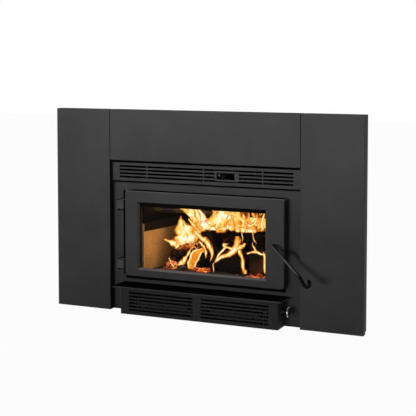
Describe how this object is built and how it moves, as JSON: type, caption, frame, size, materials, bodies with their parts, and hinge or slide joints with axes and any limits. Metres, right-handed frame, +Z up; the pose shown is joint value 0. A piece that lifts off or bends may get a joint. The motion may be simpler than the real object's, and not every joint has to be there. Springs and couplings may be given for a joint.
{
  "type": "wood-burning fireplace insert",
  "caption": "Wood-burning fireplace insert with a hinged glass door, coil-ended handle, air slide, louvred blower with speed knob, brick-lined firebox and a three-piece surround.",
  "frame": {"origin": "on the hearth, under the middle of the surround, in the plane of the wall that the surround's returns meet", "axes": "+X to the right seen from the room, +Y into the fireplace, +Z up"},
  "size_m": [1.219, 0.5903, 0.762],
  "materials": {
    "body_paint": "matte charcoal high-temperature stove paint",
    "fixings": "blackened zinc-plated steel",
    "firebox_steel": "heat-darkened plate steel",
    "stainless_steel": "heat-tinted stainless steel",
    "galvanised_sheet": "galvanised sheet steel",
    "firebrick": "porous tan refractory brick",
    "fibre_board": "pale ceramic fibre board",
    "door_glass": "clear ceramic glass",
    "rope_gasket": "woven glass-fibre rope",
    "handle_steel": "satin black-nickel rod",
    "bearing_bronze": "sintered bronze",
    "knob_metal": "turned aluminium",
    "motor_steel": "lacquered laminated steel",
    "impeller_aluminium": "mill-finish aluminium",
    "control_plastic": "black moulded plastic",
    "charred_wood": "charred split firewood",
    "embers": "glowing embers and ash",
    "gland_rubber": "black moulded rubber"
  },
  "bodies": {
    "insert": {"air_channels": "firebox_steel", "airwash_manifold": "firebox_steel", "ash_shelf": "body_paint", "back_bricks": "firebrick", "baffle_boards": "fibre_board", "blower_brackets": "fixings", "blower_cover": "body_paint", "blower_motor": "motor_steel", "blower_tray": "fixings", "brick_rails": "fixings", "brick_retainers": "fixings", "casing_back": "galvanised_sheet", "casing_base": "galvanised_sheet", "casing_screws": "fixings", "casing_wrap": "galvanised_sheet", "control_bezel": "body_paint", "cord_gland": "gland_rubber", "ember_bed": "embers", "fire_logs": "charred_wood", "firebox_body": "firebox_steel", "firebox_supports": "firebox_steel", "floor_bricks": "firebrick", "flue_bolts": "fixings", "flue_collar": "firebox_steel", "front_plate": "body_paint", "grille_supports": "body_paint", "hinge_blocks": "body_paint", "latch_catch": "fixings", "left_bricks": "firebrick", "pan_screws": "fixings", "right_bricks": "firebrick", "seam_bolts": "fixings", "secondary_air_tubes": "stainless_steel", "shaft_bushes": "bearing_bronze", "shutter_guides": "fixings", "speed_control": "control_plastic", "surround_brackets": "fixings", "surround_left_panel": "body_paint", "surround_right_panel": "body_paint", "surround_top_panel": "body_paint", "top_grille": "body_paint"},
    "door": {"door_frame": "body_paint", "door_glass": "door_glass", "glass_gasket": "rope_gasket", "glass_clips": "fixings", "clip_screws": "fixings", "door_gasket": "rope_gasket", "door_hinge_lugs": "body_paint", "hinge_pins": "handle_steel", "spindle_bush": "fixings"},
    "handle": {"handle_rod": "handle_steel", "latch_cam": "stainless_steel", "spindle_nut": "fixings"},
    "air_control": {"air_shutter": "stainless_steel", "air_control_knob": "fixings"},
    "fan": {"fan_shaft": "handle_steel", "left_impeller": "impeller_aluminium", "right_impeller": "impeller_aluminium"},
    "speed_knob": {"speed_knob": "knob_metal", "control_shaft": "handle_steel"}
  },
  "joints": [
    {"name": "door_swing", "type": "hinge", "parent": "insert", "child": "door", "pos_m": [-0.333, -0.028, 0.3], "axis": [0, 0, -1], "range_deg": [0, 110]},
    {"name": "handle_turn", "type": "hinge", "parent": "door", "child": "handle", "pos_m": [0.2865, -0.048, 0.2946], "axis": [0, 1, 0], "range_deg": [-65, 20]},
    {"name": "air_control_slide", "type": "slide", "parent": "insert", "child": "air_control", "axis": [1, 0, 0], "range_m": [0, 0.045]},
    {"name": "fan_spin", "type": "hinge", "parent": "insert", "child": "fan", "pos_m": [0, -0.045, 0.052], "axis": [1, 0, 0], "continuous": true},
    {"name": "speed_knob_turn", "type": "hinge", "parent": "insert", "child": "speed_knob", "pos_m": [0.33, -0.045, 0.06], "axis": [1, 0, 0], "range_deg": [0, 270]}
  ]
}
